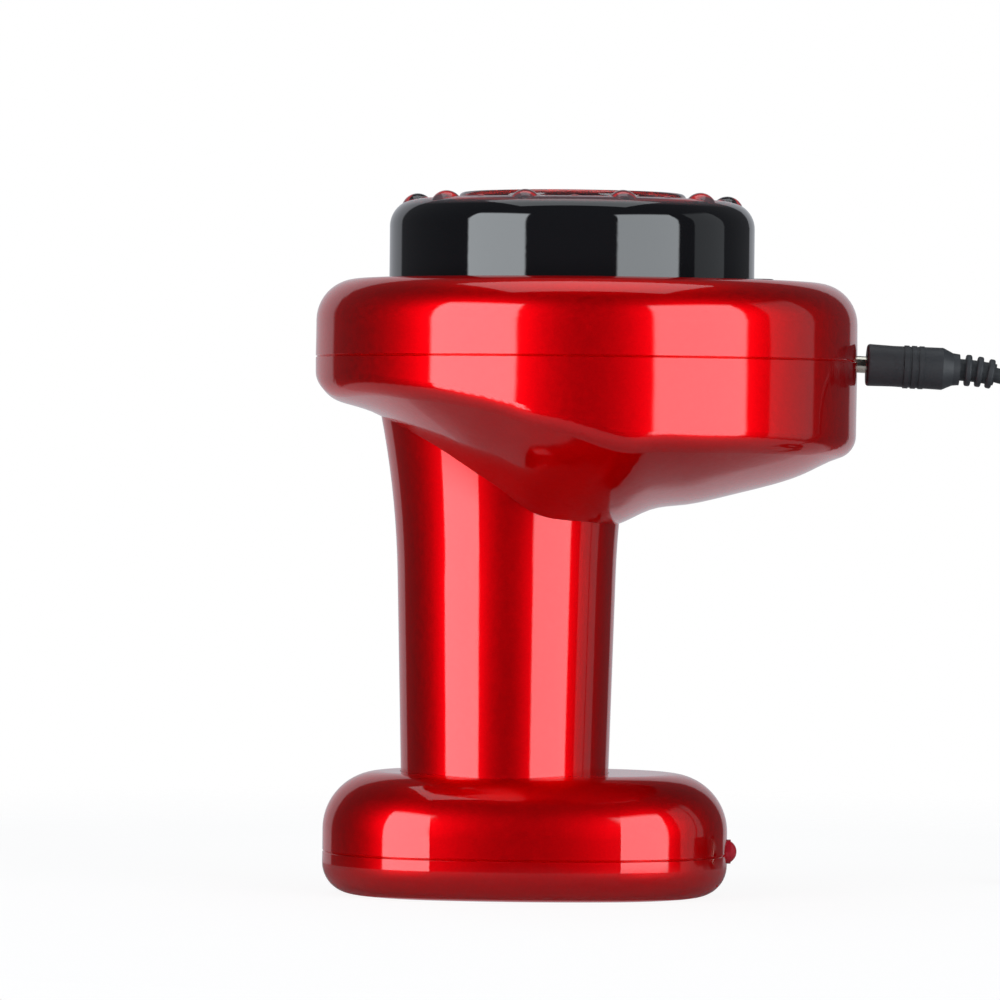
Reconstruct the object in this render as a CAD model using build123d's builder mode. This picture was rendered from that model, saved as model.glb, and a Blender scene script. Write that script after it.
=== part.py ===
"""Electric cupping massager: a round head with a smoke-grey massage cup, a round handle, an oval foot and a lead."""
import os
from math import cos, pi, radians, sin, sqrt, tan

from build123d import *

os.makedirs("parts", exist_ok=True)

# Clearances and cuts shared by all pieces, in millimetres; +Z is up and the head's axis is Z
fit_gap = 0.15
slide_gap = 0.05
running_gap = 0.3
overrun = 2.0

# Head form
head_radius = 55.8
head_draft = 0.5
head_wall = 2.4
head_top_wall = 3.4
seam_height = 110.5
ring_height = 16.0
ring_corner = 8.5
belt_radius = 4.8
seam_groove = 0.25
tongue_wall = 1.2
tongue_depth = 3.0

# Head underside, a form that falls from the belt to a keel line
underside_depth = 35.6
edge_drop_left = 5.2
edge_drop_right = 15.3
underside_margin = 4.0
underside_wall_rise = 3.0
keel_opening = 60.0
# shares: place along X of the head's radius, keel of the depth, edge from the left drop to the right drop
underside_shares = (
    (-1.02, 0.17, 0.0),
    (-0.96, 0.21, 0.0),
    (-0.87, 0.28, 0.0),
    (-0.76, 0.34, 0.0),
    (-0.63, 0.48, 0.0),
    (-0.53, 0.60, 0.0),
    (-0.40, 0.76, 0.06),
    (-0.30, 0.87, 0.15),
    (-0.21, 0.97, 0.28),
    (-0.14, 1.00, 0.38),
    (-0.04, 0.99, 0.60),
    (0.04, 0.975, 0.80),
    (0.12, 0.955, 0.96),
    (0.24, 0.87, 1.0),
    (0.36, 0.84, 1.0),
    (0.51, 0.79, 1.0),
    (0.66, 0.73, 1.0),
    (0.81, 0.65, 1.0),
    (0.90, 0.58, 1.0),
    (1.02, 0.48, 1.0),
)

# Massage cup
cup_offset = 3.2
cup_inset = 18.2
cup_wall = 2.6
cup_face_rise = 16.5
cup_shoulder = 5.5
cup_hole_gap = 0.9
flange_width = 2.6
flange_thickness = 2.2
skirt_wall = 1.8
skirt_depth = 4.3
seal_thickness = 1.0
cup_hole_round = 1.0
cup_face_width = 16.4
lip_width = 2.2
lip_rise = 1.6
bowl_draft = 3.8
bowl_depth = 8.4
bowl_wall = 2.4
bowl_corner = 3.0

# Raised domes on the cup
dome_count = 10
large_dome_radius = 3.4
large_dome_inset = 5.7
dome_sink = 0.4
small_dome_radius = 1.4
small_dome_inset = 5.6
inner_dome_margin = 1.9
bowl_dome_radius = 2.5
bowl_dome_place = (3.8, 0.4)
bowl_bead_radius = 1.6
bowl_bead_places = ((-8.1, 5.9), (10.4, -3.9), (-3.8, -8.6))

# Suction port in the bowl
port_inset = 2.0
port_angle = 56.9
port_cap_radius = 4.6
port_cap_thickness = 2.1
port_collar_radius = 6.6
port_collar_rise = 2.5
port_stem_radius = 2.2
port_bore_radius = 1.2
port_inlet_count = 3
port_inlet_radius = 0.5

# Frame plate, light tub and heater below the cup
frame_thickness = 2.0
frame_drop = 11.5
frame_inset = 4.4
frame_boss_radius = 3.0
frame_boss_inset = 7.8
frame_boss_angles = (78, 140, 220, 282)
cup_seat_width = 3.7
tub_inset = 4.1
tub_wall = 4.0
tub_floor = 2.0
heater_thickness = 1.5
heater_inner_margin = 1.2
heater_edge = 1.5
board_thickness = 1.6
light_board_margin = 1.5
light_count = 6
light_circle = 9.0
light_radius = 2.5
light_flange = 0.4
light_height = 6.2

# Control panel, keys and control board
panel_half_angle = 58
panel_inset = 9.0
panel_gap = 2.0
panel_corner = 3.4
panel_thickness = 1.9
key_angles = (-36, 0, 36)
key_radius = 3.8
key_proud = 0.25
key_travel = 0.5
key_cap_lift = 0.6
key_stem_radius = 1.6
switch_size = 6.0
switch_height = 2.3
board_post_rise = 2.0
board_post_radius = 2.0
board_half_angle = 54
board_gap = 1.0
board_inset = 5.4
board_corner = 1.5
post_angles = (-48, 18, 48)
post_inset = 3.8
indicator_angles = (-22, -17, 17, 22)
indicator_inset = 5.9
indicator_length = 1.6
indicator_width = 0.8
indicator_height = 0.6

# Handle
handle_offset = 16.0
handle_foot_radius = 21.4
handle_neck_radius = 22.5
handle_neck_height = 66.0
handle_top_radius = 26.3
handle_seat_depth = 0.8
handle_top_height = 99.0
handle_bore = 18.9
handle_boss_radius = 3.2
handle_boss_circle = 16.2
handle_boss_angles = (0, 120, 240)
handle_boss_length = 12.0
socket_wall = 2.0
socket_below_top = 2.0

# Clamp plate on top of the handle
clamp_thickness = 2.2
clamp_radius = 24.6
clamp_gap = 0.4
clamp_half_width = 14.6
clamp_hole = 7.0
clamp_boss_inset = 3.5
clamp_boss_across = 11.0
clamp_boss_radius = 3.2

# Foot
foot_offset = 11.7
foot_half_length = 41.75
foot_end_radius = 29.0
foot_side_radius = 85.0
foot_height = 25.2
foot_seam = 8.7
foot_top_round = 12.0
foot_bottom_round = 6.3
foot_wall = 2.4
foot_inner_round = 9.1
foot_post_radius = 3.4
foot_post_along = 26.5
foot_post_across = 12.0
foot_screw_recess = 5.0

# Foot lamp
foot_lamp_height = 9.2
foot_lamp_radius = 2.5
foot_lamp_reach = 0.9
foot_lamp_flange = 0.4
foot_lamp_flange_length = 1.0
lamp_board_half_width = 6.0
lamp_board_bottom = 3.4
lamp_board_top = 17.0
lamp_post_width = 3.0
lamp_post_depth = 4.6
lamp_post_height = 5.6
lamp_slot_depth = 1.2

# Battery
cell_radius = 9.2
cell_length = 65.0
carrier_radius = 11.6
carrier_floor = 3.0
carrier_cap = 2.4
spring_height = 2.6
spring_outer = 4.0
spring_wire = 0.8
contact_thickness = 0.4
contact_radius = 4.0

# Screws
screw_head_radius = 2.3
screw_head_height = 1.3
screw_radius = 1.25
screw_pilot_radius = 1.3
screw_clear_radius = 1.5
screw_recess_length = 2.4
screw_recess_width = 0.7
screw_recess_depth = 0.7
screw_pilot_depth = 12.0
frame_screw_length = 9.6
clamp_screw_length = 10.0
handle_screw_length = 12.0
foot_screw_length = 7.0

# Air block, hose and release valve
block_length = 13.0
block_width = 12.0
block_height = 10.0
air_drop = 5.5
stem_entry = 4.0
nozzle_radius = 2.0
nozzle_length = 4.6
air_bore = 1.0
hose_radius = 3.3
hose_loop = 14.6
hose_bend = 7.0
valve_radius = 5.2
valve_length = 16.0
valve_wall = 1.5
plunger_radius = 3.3
plunger_length = 8.0
plunger_travel = 1.2
valve_spring_radius = 2.6
valve_spring_wire = 0.7

# Pump
pump_inset = 25.8
pump_below_frame = 12.0
motor_radius = 10.2
motor_length = 25.0
motor_wall = 0.8
motor_start = -28.0
rotor_radius = 8.6
rotor_length = 16.0
shaft_radius = 1.0
crank_length = 10.0
pump_side = 20.0
crank_bore = 8.4
eccentric_radius = 4.0
eccentric_shift = 1.2
eccentric_length = 4.0
rocker_radius = 6.0
rocker_thickness = 2.0
diaphragm_thickness = 1.2
pump_cap_length = 8.0
pump_edge = 1.2
bracket_wall = 1.4
bracket_length = 8.0
bracket_ear = 1.2
bracket_half_span = 14.0
bracket_screw_span = 12.6

# Main board
main_board_inset = 9.8
main_board_length = 21.0
main_board_half_width = 17.0
main_board_drop = 2.8
main_post_radius = 2.0
main_post_inset = 2.6
chip_height = 1.4
# chip places and sizes along the board, in shares of its length and half width
chip_shares = (
    (0.35, -0.35, 0.34, 0.42),
    (0.70, 0.10, 0.22, 0.28),
    (0.32, 0.35, 0.24, 0.30),
    (0.66, -0.55, 0.20, 0.28),
)

# Charging socket
jack_bezel_radius = 4.45
jack_recess = 0.35
jack_drop = 0.5
jack_lean = 2.5
jack_box_gap = 0.3
jack_side = 9.6
jack_box_length = 9.0
jack_depth = 4.8
jack_bore = 1.8
jack_bore_depth = 9.9
jack_pin_radius = 0.4
jack_pin_length = 8.0
jack_pedestal_length = 6.4
jack_pedestal_width = 7.6

# Plug of the lead
barrel_radius = 1.75
barrel_bore = 0.7
barrel_length = 9.5
plug_stand_off = 1.9
plug_length = 19.2
plug_radius = 4.35
plug_waist_radius = 4.2
plug_end_radius = 3.2
plug_front_round = 0.6
plug_waist_at = 5.5
plug_swell_at = 15.7
plug_taper_at = 17.8
plug_neck_radius = 3.35
plug_grip_at = 7.7
plug_grip_pitch = 1.55
plug_grip_count = 3
plug_grip_width = 1.0
plug_grip_rise = 0.24

# Strain relief of the lead, bent a little downwards
relief_core_radius = 2.25
relief_bend_radius = 42.0
relief_bend_angle = 10.1
relief_rib_count = 3
relief_rib_width = 1.25
relief_rib_round = 0.4
relief_rib_step_angle = 3.15
relief_rib_start_angle = 2.45
relief_rib_first = 3.25
relief_rib_fall = 0.1

# Lead
cord_radius = 1.55
cord_first_run = 15.0
cord_route = (
    (110.0, 0.6, 92.0),
    (114.0, 1.2, 66.0),
    (112.6, 1.0, 40.0),
    (115.0, 0.3, 20.5),
    (122.0, -0.6, 6.6),
    (134.8, -1.0, 1.55),
    (148.2, -1.0, 1.55),
)
coil_mean_radius = 17.0
coil_pitch = 3.55
coil_rise = 3.55
coil_half_turns = 7
coil_tail = 12.0
coil_samples_per_turn = 60

# Plug at the far end of the lead
usb_nose_length = 7.0
usb_nose_start = 2.6
usb_nose_end = 3.6
usb_body_length = 22.0
usb_body_width = 15.6
usb_body_height = 8.8
usb_body_round = 2.2
usb_shell_length = 18.6
usb_shell_width = 12.0
usb_shell_height = 4.5
usb_shell_wall = 0.35
usb_shell_sink = 3.0
usb_tongue_width = 10.6
usb_tongue_height = 1.9
usb_tongue_shift = 0.9
usb_tongue_recess = 1.6
usb_window = 2.2
usb_window_spacing = 5.4
usb_window_back = 5.6

# Places worked out from the sizes above
ring_top = seam_height + ring_height
ring_slope = tan(radians(head_draft))
ring_top_radius = head_radius - ring_height * ring_slope
cup_x = -cup_offset
handle_x = -handle_offset
foot_x = -foot_offset
cup_radius = head_radius - cup_inset
flange_radius = cup_radius + flange_width
lip_inner_radius = cup_radius - cup_face_width
lip_outer_radius = lip_inner_radius + lip_width
bowl_floor_radius = lip_inner_radius - bowl_draft
large_dome_circle = cup_radius - large_dome_inset
small_dome_circle = cup_radius - small_dome_inset
inner_dome_circle = lip_outer_radius + inner_dome_margin
cup_seat_inner = flange_radius - cup_seat_width
tub_radius = cup_radius - tub_inset
heater_inner = lip_outer_radius + heater_inner_margin
heater_outer = tub_radius - heater_edge
light_board_radius = tub_radius - tub_wall - light_board_margin
frame_radius = head_radius - frame_inset
frame_boss_circle = head_radius - frame_boss_inset
panel_outer = head_radius - panel_inset
panel_inner = cup_radius + panel_gap
key_circle = (panel_outer + panel_inner - cup_offset) / 2
board_inner = flange_radius + board_gap
board_outer = head_radius - board_inset
post_circle = board_outer - post_inset
indicator_circle = board_outer - indicator_inset
pump_place_x = head_radius - pump_inset
main_board_left = main_board_inset - head_radius
jack_box_front = head_radius - jack_depth
clamp_right = pump_place_x - motor_radius - bracket_wall - clamp_gap
clamp_boss_x = clamp_right - clamp_boss_inset
cup_face = ring_top + cup_face_rise
lip_top = cup_face + lip_rise
cup_hole_radius = cup_radius + cup_hole_gap
skirt_bottom = ring_top - skirt_depth
flange_top = skirt_bottom - seal_thickness
flange_bottom = flange_top - flange_thickness
frame_top = ring_top - frame_drop
frame_bottom = frame_top - frame_thickness
tub_top = cup_face - cup_wall - heater_thickness
bowl_floor = cup_face - bowl_depth
light_board_top = frame_top + tub_floor + board_thickness
port_reach = bowl_floor_radius - port_inset
port_x = cup_x + port_reach * cos(radians(port_angle))
port_y = port_reach * sin(radians(port_angle))
port_cap_top = bowl_floor + port_collar_rise
control_board_top = frame_top + board_post_rise + board_thickness
clamp_top = handle_top_height + clamp_thickness
block_bottom = frame_bottom - block_height
air_height = frame_bottom - air_drop
pump_axis = frame_bottom - pump_below_frame
crank_start = motor_start + motor_length
diaphragm_start = crank_start + crank_length
pump_cap_start = diaphragm_start + diaphragm_thickness
pump_end = pump_cap_start + pump_cap_length
foot_ceiling = foot_height - foot_wall
handle_base = foot_height - handle_seat_depth
jack_face = head_radius - jack_recess
plug_face = head_radius + plug_stand_off
foot_end = foot_x + foot_half_length
main_board_bottom = frame_bottom - main_board_drop - board_thickness


def polar(radius, angle, x=0, y=0):
    """A point at a radius and an angle in degrees from a centre."""
    return (x + radius * cos(radians(angle)), y + radius * sin(radians(angle)))


def rounded_outline(plane, corners):
    """A closed outline on the plane from corners given as across, up and radius."""
    with BuildSketch(plane) as outline:
        with BuildLine():
            points = [(across, up) for across, up, _ in corners]
            FilletPolyline(points, radius=[radius for _, _, radius in corners], close=True)
        make_face()
    return outline.sketch


def discs(height, places, radius):
    """Circles of one radius at the places, on a level plane."""
    with BuildSketch(Plane.XY.offset(height)) as sketch:
        with Locations(*places):
            Circle(radius)
    return sketch.sketch


def cross_slots(height, places):
    """Cross recesses of screw heads, on a level plane."""
    with BuildSketch(Plane.XY.offset(height)) as sketch:
        with Locations(*places):
            Rectangle(screw_recess_length, screw_recess_width)
            Rectangle(screw_recess_width, screw_recess_length)
    return sketch.sketch


def screws(name, places, seat, length, upwards=True):
    """A group of screws along Z whose heads bear on the seat height."""
    way = 1 if upwards else -1
    with BuildPart() as group:
        extrude(discs(seat, places, screw_head_radius), amount=-way * screw_head_height)
        extrude(discs(seat, places, screw_radius), amount=way * length)
        slots = cross_slots(seat - way * screw_head_height, places)
        extrude(slots, amount=way * screw_recess_depth, mode=Mode.SUBTRACT)
    save(group, name)


def save(builder, name):
    """Labels a finished piece and writes it."""
    builder.part.label = name
    export_step(builder.part, f"parts/{name}.step")


def head_plane(x):
    """The upright plane through a vertical axis at X, with Z as its height."""
    return Plane(origin=(x, 0, 0), x_dir=(1, 0, 0), z_dir=(0, -1, 0))


def upright(x, y=0):
    """A vertical axis at a place."""
    return Axis((x, y, 0), (0, 0, 1))


def socket_point(x):
    """The place on the charging socket's leaning axis at a distance from the head's axis."""
    along = x - head_radius
    fall = jack_drop + along * sin(radians(jack_lean))
    return Vector(head_radius + along * cos(radians(jack_lean)), 0, seam_height - fall)


def socket_plane(x):
    """The plane square to the charging socket's axis at a distance from the head's axis."""
    way = (cos(radians(jack_lean)), 0, -sin(radians(jack_lean)))
    return Plane(origin=socket_point(x), x_dir=(0, 1, 0), z_dir=way)


def socket_disc(x, radius, length):
    """A disc about the charging socket's axis."""
    with BuildSketch(socket_plane(x)) as sketch:
        Circle(radius)
    return extrude(sketch.sketch, amount=length, mode=Mode.PRIVATE)


def underside_block(radius, raised):
    """The head below the seam before it is cut round, from sections across X."""
    sections = []
    for place_share, keel_share, edge_share in underside_shares:
        x = place_share * radius
        half = sqrt((radius + underside_margin) ** 2 - x**2)
        keel = seam_height - keel_share * underside_depth + raised
        edge_drop = edge_drop_left + edge_share * (edge_drop_right - edge_drop_left)
        edge = seam_height - edge_drop + raised
        top = seam_height + overrun * (raised > 0)
        with BuildSketch(Plane.YZ.offset(x)) as section:
            with BuildLine():
                ThreePointArc((-half, edge), (0, keel), (half, edge))
                Polyline((half, edge), (half, top), (-half, top), (-half, edge))
            make_face()
        sections.append(section.sketch)
    return loft(sections, mode=Mode.PRIVATE)


def handle_outline(grown, bottom, top):
    """Half of the handle's outer form, grown by a clearance, between two heights."""
    slope = Vector(handle_neck_radius - handle_foot_radius, handle_neck_height - handle_base)
    with BuildSketch(head_plane(handle_x)) as outline:
        with BuildLine():
            foot = (handle_foot_radius + grown, handle_base)
            neck = (handle_neck_radius + grown, handle_neck_height)
            crown = (handle_top_radius + grown, handle_top_height)
            Line(foot, neck)
            TangentArc(neck, crown, tangent=slope)
            Polyline(crown, (0, handle_top_height), (0, handle_base), foot)
        make_face()
        with Locations((0, (bottom + top) / 2)):
            Rectangle(4 * handle_top_radius, top - bottom, mode=Mode.INTERSECT)
    return outline.sketch


def foot_outline(height, inset=0):
    """The foot's oval of four arcs on a level plane, drawn in by an inset."""
    end_x = foot_half_length - foot_end_radius
    end_radius = foot_end_radius - inset
    side_radius = foot_side_radius - inset
    side_y = sqrt((foot_side_radius - foot_end_radius) ** 2 - end_x**2)
    reach = side_radius / (foot_side_radius - foot_end_radius)
    join_x, join_y = end_x * reach, side_y * reach - side_y
    with BuildSketch(Plane.XY.offset(height)) as outline:
        with BuildLine():
            c = foot_x
            ThreePointArc((c + join_x, -join_y), (c + end_x + end_radius, 0), (c + join_x, join_y))
            ThreePointArc((c + join_x, join_y), (c, side_radius - side_y), (c - join_x, join_y))
            ThreePointArc((c - join_x, join_y), (c - end_x - end_radius, 0), (c - join_x, -join_y))
            ThreePointArc((c - join_x, -join_y), (c, side_y - side_radius), (c + join_x, -join_y))
        make_face()
    return outline.sketch


# Head cover, the upper ring
with BuildPart() as head_cover:
    inner_top = ring_top_radius - head_wall
    inner_foot = head_radius - head_wall
    shell_corners = (
        (head_radius - seam_groove, seam_height, 0),
        (head_radius, seam_height + seam_groove, 0),
        (ring_top_radius, ring_top, ring_corner),
        (0, ring_top, 0),
        (0, ring_top - head_top_wall, 0),
        (inner_top, ring_top - head_top_wall, ring_corner - head_wall),
        (inner_foot, seam_height, 0),
    )
    revolve(rounded_outline(Plane.XZ, shell_corners), axis=Axis.Z)
    tongue_inner = inner_foot - fit_gap - tongue_wall
    tongue_corners = (
        (tongue_inner, seam_height - tongue_depth, 0),
        (inner_foot - fit_gap, seam_height - tongue_depth, 0),
        (inner_foot - fit_gap, seam_height, 0),
        (inner_foot + head_wall / 2, seam_height, 0),
        (inner_foot + head_wall / 2, seam_height + tongue_depth, 0),
        (tongue_inner, seam_height + tongue_depth, 0),
    )
    revolve(rounded_outline(Plane.XZ, tongue_corners), axis=Axis.Z)
    skirt_radius = cup_hole_radius + skirt_wall
    extrude(discs(skirt_bottom, [(cup_x, 0)], skirt_radius), amount=skirt_depth - head_top_wall / 2)
    boss_places = [polar(frame_boss_circle, angle) for angle in frame_boss_angles]
    boss_height = ring_top - head_top_wall / 2 - frame_top
    extrude(discs(frame_top, boss_places, frame_boss_radius), amount=boss_height)
    pilot_depth = boss_height - head_top_wall / 2
    extrude(discs(frame_top, boss_places, screw_pilot_radius), amount=pilot_depth, mode=Mode.SUBTRACT)
    hole_depth = skirt_depth + 2 * overrun
    hole = discs(skirt_bottom - overrun, [(cup_x, 0)], cup_hole_radius)
    extrude(hole, amount=hole_depth, mode=Mode.SUBTRACT)
    rim = head_cover.edges().filter_by(GeomType.CIRCLE).group_by(Axis.Z)[-1].sort_by(SortBy.RADIUS)[0]
    fillet(rim, cup_hole_round)
    with BuildSketch(Plane.XY.offset(ring_top - panel_thickness)) as panel_outline:
        Circle(panel_outer)
        with Locations((cup_x, 0)):
            Circle(panel_inner, mode=Mode.SUBTRACT)
        wedge = [(0, 0), polar(2 * head_radius, -panel_half_angle), polar(2 * head_radius, panel_half_angle)]
        with BuildLine():
            Polyline(*wedge, close=True)
        make_face(mode=Mode.INTERSECT)
        fillet(panel_outline.vertices(), panel_corner)
    extrude(amount=panel_thickness + overrun, mode=Mode.SUBTRACT)
    key_places = [polar(key_circle, angle) for angle in key_angles]
    stem_holes = discs(ring_top, key_places, key_stem_radius + running_gap)
    extrude(stem_holes, amount=-head_top_wall - overrun, mode=Mode.SUBTRACT)
    bezel_hole = socket_disc(jack_box_front - fit_gap, jack_bezel_radius + fit_gap, jack_depth + overrun)
    add(bezel_hole, mode=Mode.SUBTRACT)
save(head_cover, "head_cover")

# Control panel, a crescent window with three key holes
with BuildPart() as control_panel:
    with BuildSketch(Plane.XY.offset(ring_top - panel_thickness)) as window_outline:
        Circle(panel_outer - slide_gap)
        with Locations((cup_x, 0)):
            Circle(panel_inner + slide_gap, mode=Mode.SUBTRACT)
        window_angle = panel_half_angle - slide_gap / panel_outer * 180 / pi
        with BuildLine():
            window_ends = [polar(2 * head_radius, -window_angle), polar(2 * head_radius, window_angle)]
            Polyline((0, 0), *window_ends, close=True)
        make_face(mode=Mode.INTERSECT)
        fillet(window_outline.vertices(), panel_corner)
    extrude(amount=panel_thickness)
    key_holes = discs(ring_top - panel_thickness, key_places, key_radius + running_gap)
    extrude(key_holes, amount=panel_thickness, mode=Mode.SUBTRACT)
save(control_panel, "control_panel")

# Three keys that travel down through the panel
key_names = ("key_heat", "key_power", "key_suction")
for key_name, key_place in zip(key_names, key_places):
    key_bottom = ring_top - panel_thickness + key_cap_lift
    with BuildPart() as key:
        extrude(discs(key_bottom, [key_place], key_radius), amount=ring_top + key_proud - key_bottom)
        fillet(key.edges().group_by(Axis.Z)[-1], key_proud)
        stem_foot = control_board_top + switch_height + key_cap_lift
        extrude(discs(key_bottom, [key_place], key_stem_radius), amount=stem_foot - key_bottom)
    save(key, key_name)

# Control board with its switches and indicator lamps
with BuildPart() as control_board:
    with BuildSketch(Plane.XY.offset(control_board_top - board_thickness)) as board_outline:
        Circle(board_outer)
        with Locations((cup_x, 0)):
            Circle(board_inner, mode=Mode.SUBTRACT)
        with BuildLine():
            board_ends = [polar(2 * head_radius, -board_half_angle), polar(2 * head_radius, board_half_angle)]
            Polyline((0, 0), *board_ends, close=True)
        make_face(mode=Mode.INTERSECT)
        fillet(board_outline.vertices(), board_corner)
    extrude(amount=board_thickness)
save(control_board, "control_board")

with BuildPart() as key_switches:
    for angle in key_angles:
        with BuildSketch(Plane.XY.offset(control_board_top)):
            with Locations(Location((*polar(key_circle, angle), 0), (0, 0, angle))):
                Rectangle(switch_size, switch_size)
        extrude(amount=switch_height)
save(key_switches, "key_switches")

with BuildPart() as indicator_lamps:
    for angle in indicator_angles:
        with BuildSketch(Plane.XY.offset(control_board_top)):
            with Locations(Location((*polar(indicator_circle, angle), 0), (0, 0, angle))):
                Rectangle(indicator_width, indicator_length)
        extrude(amount=indicator_height)
save(indicator_lamps, "indicator_lamps")

# Massage cup with its bowl, lip and domes
with BuildPart() as massage_cup:
    bowl_outer_top = lip_outer_radius + fit_gap
    inner_radius = cup_radius - cup_wall
    cup_corners = (
        (flange_radius, flange_bottom, 0),
        (flange_radius, flange_top, 0),
        (cup_radius, flange_top, 0),
        (cup_radius, cup_face, cup_shoulder),
        (lip_outer_radius, cup_face, lip_rise / 4),
        (lip_outer_radius, lip_top, lip_width / 2 - slide_gap),
        (lip_inner_radius, lip_top, lip_width / 2 - slide_gap),
        (bowl_floor_radius, bowl_floor, bowl_corner),
        (0, bowl_floor, 0),
        (0, bowl_floor - bowl_wall, 0),
        (bowl_floor_radius + bowl_wall / 2, bowl_floor - bowl_wall, bowl_corner),
        (bowl_outer_top, cup_face - cup_wall, 0),
        (inner_radius, cup_face - cup_wall, cup_shoulder - cup_wall),
        (inner_radius, flange_bottom, 0),
    )
    revolve(rounded_outline(head_plane(cup_x), cup_corners), axis=upright(cup_x))
    collar_bottom = bowl_floor - bowl_wall / 2
    collar_height = bowl_floor + port_collar_rise - collar_bottom
    extrude(discs(collar_bottom, [(port_x, port_y)], port_collar_radius), amount=collar_height)
    with Locations((cup_x, 0, cup_face - dome_sink)):
        with PolarLocations(large_dome_circle, dome_count):
            Sphere(large_dome_radius, arc_size1=0)
        with PolarLocations(small_dome_circle, dome_count, start_angle=180 / dome_count):
            Sphere(small_dome_radius, arc_size1=0)
        with PolarLocations(inner_dome_circle, dome_count, start_angle=180 / dome_count):
            Sphere(small_dome_radius, arc_size1=0)
    with Locations((cup_x + bowl_dome_place[0], bowl_dome_place[1], bowl_floor - dome_sink)):
        Sphere(bowl_dome_radius, arc_size1=0)
    with Locations(*[(cup_x + x, y, bowl_floor - dome_sink) for x, y in bowl_bead_places]):
        Sphere(bowl_bead_radius, arc_size1=0)
    pocket = discs(port_cap_top, [(port_x, port_y)], port_cap_radius + fit_gap)
    extrude(pocket, amount=-port_cap_thickness - slide_gap, mode=Mode.SUBTRACT)
    stem_hole = discs(port_cap_top, [(port_x, port_y)], port_stem_radius + fit_gap)
    extrude(stem_hole, amount=-port_collar_rise - bowl_wall - overrun, mode=Mode.SUBTRACT)
save(massage_cup, "massage_cup")

# Seal between the cup's flange and the cover's skirt
with BuildPart() as cup_seal:
    extrude(discs(flange_top, [(cup_x, 0)], flange_radius), amount=seal_thickness)
    seal_hole = discs(flange_top, [(cup_x, 0)], cup_radius + running_gap)
    extrude(seal_hole, amount=seal_thickness, mode=Mode.SUBTRACT)
save(cup_seal, "cup_seal")

# Suction port: a filter cap with its stem
with BuildPart() as suction_port:
    extrude(discs(port_cap_top, [(port_x, port_y)], port_cap_radius), amount=-port_cap_thickness)
    fillet(suction_port.edges().group_by(Axis.Z)[-1], port_cap_thickness / 4)
    stem_bottom = frame_bottom - stem_entry
    stem_length = port_cap_top - port_cap_thickness - stem_bottom
    extrude(discs(stem_bottom, [(port_x, port_y)], port_stem_radius), amount=stem_length)
    bore = discs(stem_bottom, [(port_x, port_y)], port_bore_radius)
    extrude(bore, amount=stem_length + port_cap_thickness / 2, mode=Mode.SUBTRACT)
    with BuildSketch(Plane.XY.offset(port_cap_top)):
        with Locations((port_x, port_y)):
            with PolarLocations(port_bore_radius - port_inlet_radius / 2, port_inlet_count):
                Circle(port_inlet_radius)
    extrude(amount=-port_cap_thickness, mode=Mode.SUBTRACT)
save(suction_port, "suction_port")

# Heater ring under the cup's face
with BuildPart() as heater_ring:
    extrude(discs(tub_top, [(cup_x, 0)], heater_outer), amount=heater_thickness)
    heater_hole = discs(tub_top, [(cup_x, 0)], heater_inner)
    extrude(heater_hole, amount=heater_thickness, mode=Mode.SUBTRACT)
save(heater_ring, "heater_ring")

# Light tub that carries the heater and the light board
with BuildPart() as light_tub:
    extrude(discs(frame_top, [(cup_x, 0)], tub_radius), amount=tub_top - frame_top)
    tub_hollow = discs(frame_top + tub_floor, [(cup_x, 0)], tub_radius - tub_wall)
    extrude(tub_hollow, amount=tub_top - frame_top, mode=Mode.SUBTRACT)
    tub_hole = discs(frame_top, [(port_x, port_y)], port_stem_radius + running_gap)
    extrude(tub_hole, amount=tub_floor, mode=Mode.SUBTRACT)
save(light_tub, "light_tub")

with BuildPart() as light_board:
    extrude(discs(light_board_top, [(cup_x, 0)], light_board_radius), amount=-board_thickness)
    board_hole = discs(light_board_top, [(port_x, port_y)], port_stem_radius + running_gap)
    extrude(board_hole, amount=-board_thickness, mode=Mode.SUBTRACT)
save(light_board, "light_board")

with BuildPart() as red_lamps:
    lamp_places = [polar(light_circle, 360 / light_count * i, cup_x) for i in range(light_count)]
    extrude(discs(light_board_top, lamp_places, light_radius + light_flange), amount=light_flange)
    extrude(discs(light_board_top, lamp_places, light_radius), amount=light_height)
    with Locations(*[(x, y, light_board_top + light_height) for x, y in lamp_places]):
        Sphere(light_radius, arc_size1=0)
save(red_lamps, "red_lamps")

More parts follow.
